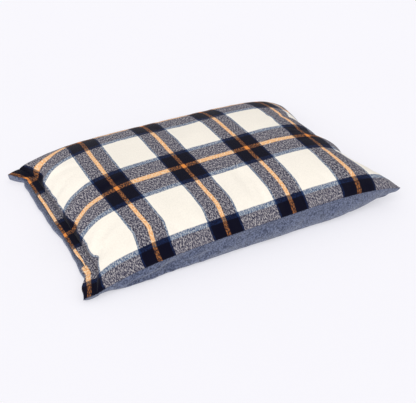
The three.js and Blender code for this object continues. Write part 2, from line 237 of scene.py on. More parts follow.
def new_material(name, roughness, uv_map=None, **shader):
    """A material with a Principled shader: (material, tree, place)."""
    material = bpy.data.materials.new(name)
    material.use_nodes = True
    tree = material.node_tree
    bsdf = tree.nodes["Principled BSDF"]
    bsdf.inputs["Roughness"].default_value = roughness
    for key, value in shader.items():
        bsdf.inputs[key.replace("_", " ")].default_value = value
    if uv_map:
        return material, tree, add(tree, "ShaderNodeUVMap", uv_map=uv_map).outputs[0]
    return material, tree, add(tree, "ShaderNodeTexCoord").outputs["Object"]


def surface(tree, color, height=None, strength=1.0, depth=0.001, roughness=None):
    """Links a colour, and where given a bump and a roughness, to the tree's shader."""
    shader = tree.nodes["Principled BSDF"].inputs
    tree.links.new(color, shader["Base Color"])
    if height is not None:
        inputs = {"Height": height, "Strength": strength, "Distance": depth}
        bump = add(tree, "ShaderNodeBump", inputs)
        tree.links.new(bump.outputs[0], shader["Normal"])
    if roughness is not None:
        tree.links.new(roughness, shader["Roughness"])


print("node tools ready")

# %% [markdown]
# ## Shared effects
# Four effects come back in several finishes, so each is one shader group with its own
# sliders: the over-and-under of woven yarn, the uneven yarn that gives cloth its grain,
# slow fading over a hand's width, and edges rubbed bright. A group returns only masks and
# heights, and each material turns them into its own colours.

# %% Shared effects
# woven yarn: a diagonal twill, one step per thread
weave, inside, out = new_group(
    "woven yarn",
    [("Cloth", "Vector", (0, 0, 0)), ("Thread", "Float", 0.0012), ("Slant", "Float", 2.0)],
    [("Over", "Float"), ("Height", "Float")],
)
counted = divided(weave, inside["Cloth"], inside["Thread"])
threads = add(weave, "ShaderNodeSeparateXYZ", {0: counted})
step = math_node(weave, "MULTIPLY_ADD", threads.outputs[1], inside["Slant"], threads.outputs[0])
twill = math_node(weave, "SINE", math_node(weave, "MULTIPLY", step, math.pi / 2))
over = math_node(weave, "MULTIPLY_ADD", twill, 0.5, 0.5)
weave.links.new(over, out["Over"])
warp_round, weft_round = (
    math_node(weave, "SINE", math_node(weave, "MULTIPLY", threads.outputs[k], 2 * math.pi))
    for k in (0, 1)
)
yarns = mix_value(weave, over, warp_round, weft_round)
weave.links.new(math_node(weave, "MULTIPLY_ADD", yarns, 0.5, 0.5), out["Height"])

# uneven yarn: noise with its contrast turned up
grain, inside, out = new_group(
    "yarn grain",
    [("Cloth", "Vector", (0, 0, 0)), ("Size", "Float", 0.003), ("Contrast", "Float", 2.0)],
    [("Grain", "Float")],
)
where = divided(grain, inside["Cloth"], inside["Size"])
noise_inputs = {"Vector": where, "Scale": 1.0, "Detail": 3.0, "Roughness": 0.6}
speck = add(grain, "ShaderNodeTexNoise", noise_inputs)
centred = math_node(grain, "SUBTRACT", speck.outputs[0], 0.5)
spread = math_node(grain, "MULTIPLY", centred, inside["Contrast"])
clamped = add(grain, "ShaderNodeClamp", {0: math_node(grain, "ADD", spread, 0.5)})
grain.links.new(clamped.outputs[0], out["Grain"])

# slow fading: soft noise of several sizes
fading, inside, out = new_group(
    "slow fading",
    [("Place", "Vector", (0, 0, 0)), ("Size", "Float", 0.09)],
    [("Tone", "Float")],
)
where = divided(fading, inside["Place"], inside["Size"])
patch = add(fading, "ShaderNodeTexNoise", {"Vector": where, "Scale": 1.0, "Detail": 4.0})
fading.links.new(patch.outputs[0], out["Tone"])

# rubbed edges: where the surface turns outwards sharply
rubbed, inside, out = new_group(
    "rubbed edges",
    [("Place", "Vector", (0, 0, 0)), ("Amount", "Float", 0.6)],
    [("Mask", "Float")],
)
sharp = add(rubbed, "ShaderNodeNewGeometry").outputs["Pointiness"]
noise_inputs = {"Vector": inside["Place"], "Scale": 900.0, "Detail": 2.0}
broken = add(rubbed, "ShaderNodeTexNoise", noise_inputs)
edge = add(rubbed, "ShaderNodeMapRange", {0: sharp, 1: 0.505, 2: 0.56})
worn = math_node(rubbed, "MULTIPLY", edge.outputs[0], broken.outputs[0])
rubbed.links.new(math_node(rubbed, "MULTIPLY", worn, inside["Amount"]), out["Mask"])
print("shared effects:", [g.name for g in bpy.data.node_groups])

# %% [markdown]
# ## White sweep and plain cloths
# The floor is matt paper that glows a little, so that it stays near white. Three plain
# cloths come later: the zip's tape, the label's ribbon and the lining. They differ only in
# thread, colours and dirt, so one function makes them all.

# %% White sweep and plain cloths
paper, tree, place = new_material(
    "white sweep", 0.9, Specular_IOR_Level=0.1,
    Emission_Strength=0.47, Emission_Color=(0.985, 0.975, 1.0, 1),
)
tone = faded(tree, place, 0.5)
surface(tree, ramp(tree, tone, [(0.2, srgb("b9b8be")), (0.8, srgb("bab9bf"))]))
floor.data.materials.append(paper)


def plain_cloth(name, roughness, thread, slant, mask, yarns, dirt, relief, turn=0.0, **shader):
    """A woven cloth: two yarn colours, (colour, share, size) of dirt, (strength, depth)."""
    material, tree, place = new_material(name, roughness, **shader)
    threads = woven(tree, mapped(tree, place, (0, turn, 0)), thread, slant)
    dirt_color, share, size = dirt
    dirty = math_node(tree, "MULTIPLY", faded(tree, place, size), share)
    color = mix_color(tree, threads[mask], *map(srgb, yarns))
    surface(tree, mix_color(tree, dirty, color, srgb(dirt_color)), threads["Height"], *relief)
    return material


print("white sweep ready")

# %% [markdown]
# ## Plaid cloth
# The top is a yarn-dyed check: stripes of dark navy, mid blue and orange on cream, the same
# along and across. Where two stripes cross, both yarns show, so the colour there is a mix
# of the two and looks speckled. The cloth carries its own flat coordinates in metres (a UV
# map), so the check bends with the cloth as woven threads would. Repeats and stripe widths
# are numbers. The two stripe colours are mixed with a power, because dark yarn hides light
# yarn more than an average says.

# %% Plaid cloth
REPEAT_ALONG, REPEAT_ACROSS = 0.19885, 0.2892  # one repeat of the check, along and across
START_ALONG, START_ACROSS = 0.0182, 0.2719  # where a stripe's middle lies
REPEATS_AHEAD = 8.0  # whole repeats added, so that the count is above zero on all the cloth
ORANGE, INK, BLUE, CREAM = map(srgb, ("ec9245", "07071a", "1e335a", "fdf6ea"))
# half widths of the stripes, as shares of the repeat, and the blur between two colours
ORANGE_HALF, INK_HALF, BLUE_ALONG, BLUE_ACROSS = 0.027, 0.20, 0.226, 0.25
STRIPE_BLUR = 0.006
MIX_POWER = 4.0
THREADS_WANDER = 0.004  # how far stripes stray from a straight line


def stripes(tree, place, blue_half):
    """Yarn colour at a place counted in repeats: whole numbers are the orange stripes."""
    away = math_node(tree, "PINGPONG", place, 0.5)
    stops = []
    for half, inner, outer in (
        (ORANGE_HALF, ORANGE, INK), (INK_HALF, INK, BLUE), (blue_half, BLUE, CREAM),
    ):
        stops += [((half - STRIPE_BLUR / 2) * 2, inner), ((half + STRIPE_BLUR / 2) * 2, outer)]
    return ramp(tree, math_node(tree, "MULTIPLY", away, 2.0), stops)


plaid, tree, cloth = new_material(
    "plaid cloth", 0.95, uv_map="cloth", Specular_IOR_Level=0.08,
    Sheen_Weight=0.06, Sheen_Roughness=0.5, Sheen_Tint=(0.95, 0.95, 1.0, 1),
)
wander = add(tree, "ShaderNodeTexNoise", {"Vector": cloth, "Scale": 14.0, "Detail": 2.0})
shift = vector_math(tree, "SUBTRACT", wander.outputs[1], (0.5, 0.5, 0.5))
moved = vector_math(tree, "ADD", cloth, scaled(tree, shift, THREADS_WANDER))
where = add(tree, "ShaderNodeSeparateXYZ", {0: moved})
along = math_node(tree, "SUBTRACT", where.outputs[0], START_ALONG)
across = math_node(tree, "SUBTRACT", START_ACROSS, where.outputs[1])
soft_yarns = []
for away, repeat, blue_half in (
    (along, REPEAT_ALONG, BLUE_ALONG), (across, REPEAT_ACROSS, BLUE_ACROSS),
):
    count = math_node(tree, "ADD", math_node(tree, "DIVIDE", away, repeat), REPEATS_AHEAD)
    yarn = stripes(tree, count, blue_half)
    soft_yarns.append(add(tree, "ShaderNodeGamma", {0: yarn, 1: 1 / MIX_POWER}).outputs[0])
twill = woven(tree, cloth, 0.0011, 2.0)
stretch = mapped(tree, cloth, (0, 0, 0.7), (1.0, 0.5, 1.0))
coarse = grainy(tree, stretch, 0.0032, 5.0)
fine = grainy(tree, cloth, 0.0014, 3.4)
yarn_share = math_node(tree, "MULTIPLY_ADD", twill["Over"], 0.16, 0.03)
yarn_share = math_node(tree, "MULTIPLY_ADD", coarse, 0.52, yarn_share)
yarn_share = math_node(tree, "MULTIPLY_ADD", fine, 0.24, yarn_share)
mixed = mix_color(tree, yarn_share, *soft_yarns)
dyed = add(tree, "ShaderNodeGamma", {0: mixed, 1: MIX_POWER}).outputs[0]
tone = faded(tree, cloth, 0.11)
shade = math_node(tree, "MULTIPLY_ADD", tone, 0.10, 0.905)
shade = math_node(tree, "MULTIPLY_ADD", coarse, 0.05, shade)
relief = math_node(tree, "MULTIPLY_ADD", coarse, 0.6, twill["Height"])
surface(tree, scaled(tree, dyed, shade), relief, 0.35, 0.0005)
print("plaid repeats", REPEAT_ALONG, "by", REPEAT_ACROSS)

# %% [markdown]
# ## Blue marl fleece
# The underside is a brushed fleece knitted from blue-grey yarns of several shades. Short
# fibres stand up, so it looks soft and speckled, and it has no clear weave. Noise in the
# bed's own space colours it, because the speckle has no direction to follow.

# %% Blue marl fleece
marl, tree, place = new_material(
    "blue marl fleece", 0.95, Specular_IOR_Level=0.15,
    Sheen_Weight=0.45, Sheen_Roughness=0.6, Sheen_Tint=(0.85, 0.9, 1.0, 1),
)
flecks = grainy(tree, place, 0.0044, 4.4)
lint = grainy(tree, place, 0.0012, 2.2)
tone = faded(tree, place, 0.05)
blue = mix_color(tree, flecks, srgb("222b48"), srgb("7d87a6"))
blue = mix_color(tree, math_node(tree, "MULTIPLY", lint, 0.35), blue, srgb("48537a"))
blue = scaled(tree, blue, math_node(tree, "MULTIPLY_ADD", tone, 0.22, 0.63))
surface(tree, blue, math_node(tree, "MULTIPLY_ADD", lint, 0.5, flecks), 0.6, 0.0009)
print("fleece ready")

# %% [markdown]
# ## The bed's shape
# The cover is described over a square: s runs along the bed from the zip end (-1) to the
# plain end (1), and t across it from the front (-1) to the back (1). First comes the seam's
# height on each side, then the crown of the filling above it. Powers of s and t make the
# dome, because they keep the middle full and let the edges fall quickly, as stuffing does:
# the higher the power, the squarer the pillow.

# %% The seam and the crown
ZIP_CREASE = -0.406  # where the top falls to the flap
PLAIN_END = 0.478
HEM = 0.036  # sewn-flat hem past the crease
MOUTH, MOUTH_CLOSED = 0.2465, 0.292  # half the zip opening, and where the panels meet again
CROWN = 0.0713
HALF_FRONT, HALF_BACK = 0.3188, 0.3140  # half the width, to the front and to the back
HOLLOW_FRONT, HOLLOW_BACK, HOLLOW_END = 0.0101, 0.0107, 0.0304  # how far the sides pull in
CORNER_START = 0.74  # the share of the half width where the zip end's corners begin
OUT_FRONT_ZIP, OUT_BACK_ZIP, SHORT_BACK = 0.0342, 0.0280, 0.0083
# heights of the seam at the corners, and in the middle of each side
CORNER_BACK_ZIP, CORNER_FRONT_ZIP = 0.0203, 0.0197
CORNER_FRONT, CORNER_BACK = 0.0520, 0.0160
FRONT_SEAM, BACK_SEAM, END_SEAM, CREASE = 0.0676, 0.0509, 0.0465, 0.0312


def soft_step(low, high, value):
    """0 below low, 1 above high, and a smooth rise between."""
    x = np.clip((value - low) / (high - low), 0, 1)
    return x * x * (3 - 2 * x)


def hump(distance, width):
    """1 at no distance, fading to 0 over about twice the width."""
    return np.exp(-((distance / width) ** 2))


def plan(s, t):
    """Where a point of the seam's surface lies from above."""
    front = t < 0
    corner = np.maximum(0, (np.abs(t) - CORNER_START) / (1 - CORNER_START))
    corner = corner ** np.where(front, 1.1, 1.5)
    left = ZIP_CREASE - np.where(front, OUT_FRONT_ZIP, OUT_BACK_ZIP) * corner
    right = PLAIN_END - HOLLOW_END * (1 - t**2) - np.where(t > 0, SHORT_BACK * t**4, 0)
    half = np.where(front, HALF_FRONT, HALF_BACK)
    half = half - np.where(front, HOLLOW_FRONT, HOLLOW_BACK) * (1 - s**4)
    return left + (right - left) * (s + 1) / 2, t * half


def side_height(start, end, middle, share, full):
    """A seam's height: straight between its corners, plus a rise to its own middle."""
    return start + (end - start) * share + (middle - (start + end) / 2) * full


def seam_height(s, t):
    """A patch between the heights of the four seams."""
    u, v = (s + 1) / 2, (t + 1) / 2
    full = 1 - s**4
    front = side_height(CORNER_FRONT_ZIP, CORNER_FRONT, FRONT_SEAM, u, full)
    back = side_height(CORNER_BACK_ZIP, CORNER_BACK, BACK_SEAM, u, full)
    right = side_height(CORNER_FRONT, CORNER_BACK, END_SEAM, v, 1 - np.abs(t) ** 3)
    left = side_height(CORNER_FRONT_ZIP, CORNER_BACK_ZIP, CREASE, v, 1 - np.abs(t) ** 8)
    corners = (1 - u) * ((1 - v) * CORNER_FRONT_ZIP + v * CORNER_BACK_ZIP)
    corners = corners + u * ((1 - v) * CORNER_FRONT + v * CORNER_BACK)
    return (1 - v) * front + v * back + (1 - u) * left + u * right - corners


def dome(place, square, steep):
    """1 in the middle and 0 at both ends: square keeps it full, steep makes its edge fall."""
    return np.maximum(0, 1 - np.abs(place) ** square) ** steep


def fullness(s, t):
    """How full the bed is: 0 at the seams, about 1 in the middle."""
    lengthwise = np.where(s < 0, dome(s, 8.2, 0.36), dome(s, 5.9, 0.64))
    crosswise = np.where(t < 0, dome(t, 1.315, 0.364), dome(t, 2, 0.414))
    return lengthwise * crosswise * (1 - 0.06 * s + 0.067 * t)


def top_point(s, t):
    x, y = plan(s, t)
    return np.stack([x, y, seam_height(s, t) + CROWN * fullness(s, t)], -1)


def lengths_along(points):
    """How far each point of a curve is from its start, along the curve."""
    return np.concatenate([[0], np.cumsum(np.linalg.norm(np.diff(points, axis=0), axis=1))])


def even_steps(curve, count):
    """Places from -1 to 1 that are evenly spaced along a curve of points."""
    fine = np.sin(np.linspace(-math.pi / 2, math.pi / 2, 4001))
    travelled = lengths_along(curve(fine))
    return np.interp(np.linspace(0, travelled[-1], count + 1), travelled, fine)


def snap(places, wanted):
    """Moves the nearest place to each wanted one, so that an edge falls on a row."""
    for w in wanted:
        places[np.argmin(np.abs(places - w))] = w
    return places


COLUMNS, ROWS, HEM_COLUMNS = 104, 74, 5
RIDGE = -0.1  # the crown is highest a little to the front
s_steps = even_steps(lambda s: top_point(s, np.full(len(s), RIDGE)), COLUMNS)
t_steps = even_steps(lambda t: top_point(np.zeros(len(t)), t), ROWS)
t_steps = snap(t_steps, [-MOUTH / HALF_FRONT, MOUTH / HALF_BACK])
crown_now = top_point(np.array([0.0]), np.array([RIDGE]))[0]
print("top of the crown", np.round(crown_now, 4), "steps", len(s_steps), len(t_steps))

# %% [markdown]
# ## The top cover as one grid
# The grid's first columns are the flat hem past the crease. Only the two corners keep them
# here: between them the cloth is the zip's flap, which folds, so it's a piece of its own.
# Each point also gets its place on the flat cloth, by measuring along the surface, so that
# the check runs on from the crown over the crease to the hem without a jump. Where the
# cloth is pulled by hand or tucked under, its place is shifted, and the check bends there.

# %% Top cover grid
HEM_IN_MOUTH = 0.0205  # the flap is folded under, so less of it shows
DROOP = 0.0052  # the hem's edge hangs this much below the crease
CLOTH_LENGTH, CLOTH_WIDTH = 0.965, 0.661  # the top's size laid flat
EAR_RISE, EAR_X, EAR_Y = 0.0065, -0.435, 0.308  # the lifted back corner at the zip
END_STRETCH = 0.023  # the cloth is stretched by this much towards the plain end
BACK_STRETCH = 0.022  # and by this much down the back
TUCK_DRAW, TUCK_REACH = 0.046, 0.09  # the tucked back corner draws the check to it


def drawn_in(y):
    """1 just before the tuck in the hem at the front, where the cloth is drawn inwards."""
    return soft_step(0.150, 0.204, -y) * (1 - soft_step(0.204, 0.213, -y))


def turned_out(y):
    """1 past that tuck, where the hem stands out until the corner."""
    return soft_step(0.204, 0.213, -y) * (1 - soft_step(0.262, 0.312, -y))


def hem_cloth(y):
    """How much cloth the hem shows past the crease."""
    width = HEM_IN_MOUTH + (HEM - HEM_IN_MOUTH) * soft_step(MOUTH, MOUTH_CLOSED, np.abs(y))
    return width + 0.006 * drawn_in(y) + 0.0075 * turned_out(y)


def hem_width(y):
    """How wide the hem lies from above."""
    return hem_cloth(y) - 0.006 * drawn_in(y) + 0.0055 * turned_out(y)


def thread_shift(y):
    return 0.003 + 0.010 * drawn_in(y) + 0.009 * soft_step(0.235, 0.300, y)


def cover_grid():
    """Points (columns, rows, 3) and flat cloth places (columns, rows, 2) of the top."""
    s = np.concatenate([np.full(HEM_COLUMNS, -1.0), s_steps])
    h = np.concatenate([np.linspace(1, 0, HEM_COLUMNS + 1)[:-1], np.zeros(len(s_steps))])
    ss, tt = np.meshgrid(s, t_steps, indexing="ij")
    hh = np.repeat(h[:, None], len(t_steps), 1)
    points = top_point(ss, tt)
    points[..., 0] -= hh * hem_width(points[..., 1])
    points[..., 2] -= hh**2 * DROOP
    x, y = points[..., 0], points[..., 1]
    points[..., 2] += EAR_RISE * hump(np.hypot((x - EAR_X) / 0.036, (y - EAR_Y) / 0.05), 1)
    lengths = np.linalg.norm(np.diff(points, axis=0), axis=-1)
    widths = np.linalg.norm(np.diff(points, axis=1), axis=-1)
    along = np.concatenate([np.zeros((1, len(t_steps))), np.cumsum(lengths, 0)])
    across = np.concatenate([np.zeros((len(s), 1)), np.cumsum(widths, 1)], axis=1)
    # the crease is one thread of the cloth, so it is measured from there both ways
    body = along - along[HEM_COLUMNS]
    body = body / body[-1] * (CLOTH_LENGTH - HEM) + HEM
    shift = thread_shift(y)
    body = body + shift * np.maximum(0, 1 - (body - HEM) / 0.09) ** 2
    # towards the plain end the cloth is stretched, most of all along the front seam
    front_share = 0.3 + 0.7 * soft_step(0.03, 0.26, -y)
    body = body - END_STRETCH * front_share * np.clip((body - 0.765) / 0.111, 0, 1)
    along = np.where(hh > 0, HEM + shift - hh * hem_cloth(y), body)
    across = across / across[:, -1:] * CLOTH_WIDTH
    past_top = soft_step(0.500, 0.575, across) * soft_step(-0.38, -0.28, x)
    across = across - BACK_STRETCH * past_top
    across = across - TUCK_DRAW * hump(np.hypot(x + 0.47, y - 0.31), TUCK_REACH)
    return points, np.stack([along, across], -1)


cover_rest, cover_cloth = cover_grid()
print("top cover grid", cover_rest.shape[:2], "height", round(float(cover_rest[..., 2].max()), 4))

# %% [markdown]
# ## Creases that this bed has
# A filled cover never meets its seam smoothly: the cloth gathers there in short puckers
# that point into the crown. The big ones are placed one by one as soft valleys across the
# surface; the many small ones come later from the cloth simulation. A valley is a long
# narrow dent with a raised lip, so that it reads as cloth pushed aside and not as a hole.

# %% Creases one by one
SINK = 0.45  # how far a pinched place drops for each metre that it's pushed in


def valley(points, start, end, width, depth, lip=0.35):
    """Lowers the surface along a line from start to end (x, y), fading out at the end."""
    a, b = np.array(start), np.array(end)
    length = np.linalg.norm(b - a)
    along = (b - a) / length
    rel = points[..., :2] - a
    run = rel @ along / length
    side = rel @ np.array([-along[1], along[0]]) / width
    fade = soft_step(-0.15, 0.12, run) * (1 - soft_step(0.35, 1.0, run))
    shape = hump(side, 1) - lip * np.exp(-((np.abs(side) - 1.9) ** 2) * 1.6)
    points[..., 2] -= depth * fade * shape


def pinch(points, y, width, depth, reach=0.075, end=-1, with_seam=False, lip=0.30):
    """Pushes the steep end face in along the bed at y, as where cloth is drawn into a seam."""
    edge = points[HEM_COLUMNS if end < 0 else -1]
    above = 1.0 if with_seam else soft_step(0.002, 0.016, points[..., 2] - edge[:, 2])
    inward = (points[..., 0] - edge[:, 0]) * -end
    fade = above * (1 - soft_step(0.0, reach, inward))
    beside = (points[..., 1] - y) / width
    shape = hump(beside, 1) - lip * hump(np.abs(beside) - 2.1, 1)
    push = (depth * fade * shape)[HEM_COLUMNS:]
    points[HEM_COLUMNS:, :, 0] -= end * push
    points[HEM_COLUMNS:, :, 2] -= SINK * push


pinch(cover_rest, -0.062, 0.020, 0.0100)
pinch(cover_rest, 0.212, 0.022, 0.0090)
pinch(cover_rest, -0.214, 0.015, 0.0080, reach=0.05)
pinch(cover_rest, 0.075, 0.013, 0.0040, reach=0.04)
# the plain end is slack: these dents (y, width, depth) take the seam with them
END_DENTS = ((0.065, 0.095, 0.0250), (-0.145, 0.075, 0.0165), (-0.022, 0.030, 0.0100))
DENT_REACH = 0.11
for y, width, depth in END_DENTS:
    pinch(cover_rest, y, width, depth, reach=DENT_REACH, end=1, with_seam=True, lip=0)
pinch(cover_rest, 0.215, 0.055, 0.0150, reach=DENT_REACH, end=1, lip=0)
valley(cover_rest, (-0.395, -0.060), (-0.300, -0.048), 0.018, 0.0045)
valley(cover_rest, (-0.400, -0.205), (-0.330, -0.150), 0.012, 0.0045)
valley(cover_rest, (0.440, -0.030), (0.360, -0.036), 0.022, 0.0040)
print("creases placed")

# %% [markdown]
# ## Walls and underside
# Below the seam the fleece bulges a little, turns under and lies flat. It starts as a
# ring of points round the seam; each ring below it follows a section curve down to the
# floor. At the zip end the section is another one: the panel's edge is rolled up round its
# zip tape, and lies in front of the zip as a soft lumpy lip. Between the two, near the
# corners, the sections are blended.

# %% Walls and underside
WALL_STEPS = 11
# the rolled edge's section (x, z), from the tape's ledge over the lip and under it, and how
# much each point of it swells with the lumps
ROLL = np.array([
    (-0.4100, 0.0125), (-0.4195, 0.0119), (-0.4255, 0.0122), (-0.4283, 0.0150),
    (-0.4318, 0.0163), (-0.4341, 0.0126), (-0.4362, 0.0152), (-0.4398, 0.0146),
    (-0.4415, 0.0102), (-0.4408, 0.0050), (-0.4370, 0.0012), (-0.4300, 0.0),
])
SWELL = np.array([0, 0, 0.1, 0.4, 0.7, 0.8, 0.9, 1.0, 1.0, 1.0, 0.7, 0.3])[:, None]
CORNERS = np.array([[-0.476, -0.318], [0.478, -0.318], [0.470, 0.314], [-0.465, 0.314]])
PLAN_MIDDLE, PLAN_HALF, PLAN_SQUARE = 0.018, (0.459, 0.3165), 16
FLEECE_FOLDS = ((-0.30, 1.9, 0.0125), (-0.20, 1.5, 0.0095))  # where, slope and size


def ring_places():
    """Grid indices round the top cover, from the front left corner anticlockwise."""
    c, r = cover_rest.shape[0] - 1, cover_rest.shape[1] - 1
    front = [(i, 0) for i in range(c)]
    right = [(c, j) for j in range(r)]
    back = [(i, r) for i in range(c, 0, -1)]
    left = [(0, j) for j in range(r, 0, -1)]
    return np.array(front + right + back + left)


ring = ring_places()
ring_points = cover_rest[ring[:, 0], ring[:, 1]]
at_zip = ring[:, 0] == 0


def ring_normals(points):
    """Outward direction from above at each point of the ring, turning over the corners."""
    x = (points[:, 0] - PLAN_MIDDLE) / PLAN_HALF[0]
    y = points[:, 1] / PLAN_HALF[1]
    normals = np.stack([np.sign(k) * np.abs(k) ** PLAN_SQUARE for k in (x, y)], -1) + 1e-9
    return normals / np.linalg.norm(normals, axis=1, keepdims=True)


def corner_nearness(points):
    """1 at the cover's four corners, 0 further than a hand away."""
    gap = np.linalg.norm(points[:, None, :2] - CORNERS[None], axis=-1).min(1)
    return 1 - soft_step(0.0, 0.13, gap)


def wall_rings():
    """Points (rings, places, 3) from the seam down to the floor."""
    f = np.linspace(0, 1, WALL_STEPS + 1)[:, None]
    normals = ring_normals(ring_points)
    near = corner_nearness(ring_points)
    x, y, height = ring_points.T
    lifted = 1 - soft_step(0.0, 0.24, np.hypot(x - 0.478, y + 0.318))
    tip = 1 - soft_step(0.0, 0.10, np.hypot(x + 0.47, y - 0.31))
    bulge = 0.10 * height * (1 - near) * (1 + 0.25 * np.sin(x * 31 + y * 23))
    inset = 0.22 * height + 0.045 * near * (1 - 0.98 * tip) + 0.045 * lifted
    out = bulge * np.sin(np.pi * f) - inset * (1 - np.cos(np.pi * f / 2))
    walls = np.empty((WALL_STEPS + 1, len(ring), 3))
    walls[..., 0] = x + normals[:, 0] * out
    walls[..., 1] = y + normals[:, 1] * out
    walls[..., 2] = height * (1 - np.sin(np.pi * f / 2) ** (1 + 0.5 * near))
    # the fleece is drawn towards the front corner at the zip in two long folds
    front = np.where(normals[:, 1] < -0.7, 1.0, 0.0)
    for start, slope, size in FLEECE_FOLDS:
        along = x - start
        window = front * soft_step(-0.09, -0.03, along) * (1 - soft_step(0.05, 0.16, along))
        push = size * window * hump(f - 0.45 + slope * along, 0.13)
        walls[..., 1] += push
        walls[..., 2] += 0.35 * push * np.sin(np.pi * f)
    # the rolled edge at the zip
    shut = soft_step(MOUTH - 0.004, MOUTH_CLOSED, np.abs(y))
    open_share = np.where(at_zip, 1 - shut, 0)
    lump = 0.5 * np.sin(y * 52 + 0.6) + 0.3 * np.sin(y * 97 + 2.0) + 0.2 * np.sin(y * 171)
    slack = 0.0085 * hump(y + 0.085, 0.075)
    section = np.empty_like(walls)
    section[..., 0] = ROLL[:, :1] - SWELL * (0.0022 * (lump + 0.4) - slack)
    section[..., 1] = y
    section[..., 2] = ROLL[:, 1:] * (1 + 0.05 * SWELL * (lump - 0.6))
    return walls + (section - walls) * open_share[None, :, None]


walls = wall_rings()
print("walls", walls.shape, "outermost", np.round(walls.reshape(-1, 3).min(0), 4))


def floor_grid(border, columns, rows):
    """A patch inside the last ring, placed from its four sides and then evened out."""
    grid = np.zeros((columns, rows, 3))
    grid[ring[:, 0], ring[:, 1]] = border
    # the shares along and across follow the ring's own spacing
    u = (grid[:, 0, 0] + grid[:, -1, 0]) / 2
    v = (grid[0, :, 1] + grid[-1, :, 1]) / 2
    u = ((u - u[0]) / (u[-1] - u[0]))[:, None, None]
    v = ((v - v[0]) / (v[-1] - v[0]))[None, :, None]
    patch = (1 - u) * grid[:1] + u * grid[-1:] + (1 - v) * grid[:, :1] + v * grid[:, -1:]
    patch -= (1 - u) * ((1 - v) * grid[:1, :1] + v * grid[:1, -1:])
    patch -= u * ((1 - v) * grid[-1:, :1] + v * grid[-1:, -1:])
    # every inner point moves to the middle of its four neighbours, many times over
    for _ in range(400):
        beside = patch[:-2, 1:-1] + patch[2:, 1:-1] + patch[1:-1, :-2] + patch[1:-1, 2:]
        patch[1:-1, 1:-1] = beside / 4
    return patch


ground = floor_grid(walls[-1], *cover_rest.shape[:2])
print("flat underside", np.round(np.ptp(ground.reshape(-1, 3), axis=0), 3))

# %% [markdown]
# ## Turning the grids into meshes
# A piece is a list of points and four-sided faces. The two panels share the ring at the
# seam, so they are built from one list of points and split afterwards: that way the
# simulation sees one closed bag, and the seam can't open. Only at the zip do the top and
# the wall have points of their own, because the cover opens there.


# %% Panels as one bag
def grid_faces(number):
    """Faces of a grid of point numbers, wound so that columns by rows faces up."""
    a, b = number[:-1, :-1], number[1:, :-1]
    c, d = number[1:, 1:], number[:-1, 1:]
    return np.stack([a, b, c, d], -1).reshape(-1, 4)


def numbered(grid):
    """Numbers for a grid of points (columns, rows, 3), from 0."""
    return np.arange(grid.shape[0] * grid.shape[1]).reshape(grid.shape[:2])


def number_rest(shared, first):
    """Numbers a grid's points from first on; those that are shared (0 or more) keep theirs."""
    new = shared < 0
    number = shared.copy()
    number[new] = first + np.arange(new.sum())
    return number, new


columns, rows = cover_rest.shape[:2]
top_number = numbered(cover_rest)
in_mouth = np.abs(cover_rest[HEM_COLUMNS, :, 1]) < MOUTH - 0.0005
shares_seam = ~(at_zip & (np.abs(ring_points[:, 1]) < MOUTH_CLOSED - 0.003))
shared = np.full(walls.shape[:2], -1)
shared[0, shares_seam] = top_number[ring[:, 0], ring[:, 1]][shares_seam]
wall_number, new_walls = number_rest(shared, top_number.size)
shared = np.full((columns, rows), -1)
shared[ring[:, 0], ring[:, 1]] = wall_number[-1]
ground_number, new_ground = number_rest(shared, top_number.size + int(new_walls.sum()))
bag = np.concatenate([cover_rest.reshape(-1, 3), walls[new_walls], ground[new_ground]])

# the flap's part of the hem is left out of the top
cell_column = np.repeat(np.arange(columns - 1), rows - 1)
cell_y = (cover_rest[HEM_COLUMNS, :-1, 1] + cover_rest[HEM_COLUMNS, 1:, 1]) / 2
in_flap = (cell_column < HEM_COLUMNS) & (np.abs(np.tile(cell_y, columns - 1)) < MOUTH)
top_faces = grid_faces(top_number)[~in_flap]
closed = np.concatenate([wall_number, wall_number[:, :1]], axis=1)
under_faces = np.concatenate([grid_faces(closed), grid_faces(ground_number)[:, ::-1]])
print("bag", len(bag), "points", len(top_faces), "+", len(under_faces), "faces")


def mesh_object(name, points, faces, cloth=None):
    """A mesh of four-sided faces without the unused points; cloth becomes its UV map."""
    faces = np.asarray(faces)
    used, inverse = np.unique(faces, return_inverse=True)
    obj = link_mesh(name, points[used], inverse.reshape(faces.shape).tolist())
    if cloth is not None:
        layer = obj.data.uv_layers.new(name="cloth")
        layer.data.foreach_set("uv", cloth[faces.reshape(-1)].astype(np.float32).ravel())
    return obj


# %% [markdown]
# ## Filling the bag
# Blender's Cloth blows the bag up with a little air. The seam, the hem, the floor and the
# crease are pinned, gravity is off, and the cloth is made a touch too large, so that it
# gathers at the pinned seams in small puckers. The top's large shape is already right, so
# only the fine part of its movement is kept: the movement is blurred over a hand's width,
# and that slow part is taken away again. No point moves further than the pucker limit.

# %% Filling the bag
PUCKER_LIMIT = 0.007
FRAMES = 20
TOP_SHARE, BACK_CALM = 0.65, 0.75  # the top keeps less of its puckers, above all at the back
CLOTH_SETTINGS = {
    "quality": 6, "mass": 0.35, "tension_stiffness": 18, "compression_stiffness": 18,
    "shear_stiffness": 6, "bending_stiffness": 0.08, "air_damping": 2,
    "use_pressure": True, "uniform_pressure_force": 4, "shrink_min": -0.022,
    "vertex_group_mass": "held",
}


def blur_grid(values, passes):
    """Smooths a grid of vectors with its neighbours."""
    for _ in range(passes):
        wide = np.pad(values, ((1, 1), (1, 1), (0, 0)), mode="edge")
        beside = wide[:-2, 1:-1] + wide[2:, 1:-1] + wide[1:-1, :-2] + wide[1:-1, 2:]
        values = wide[1:-1, 1:-1] * 0.5 + beside * 0.125
    return values


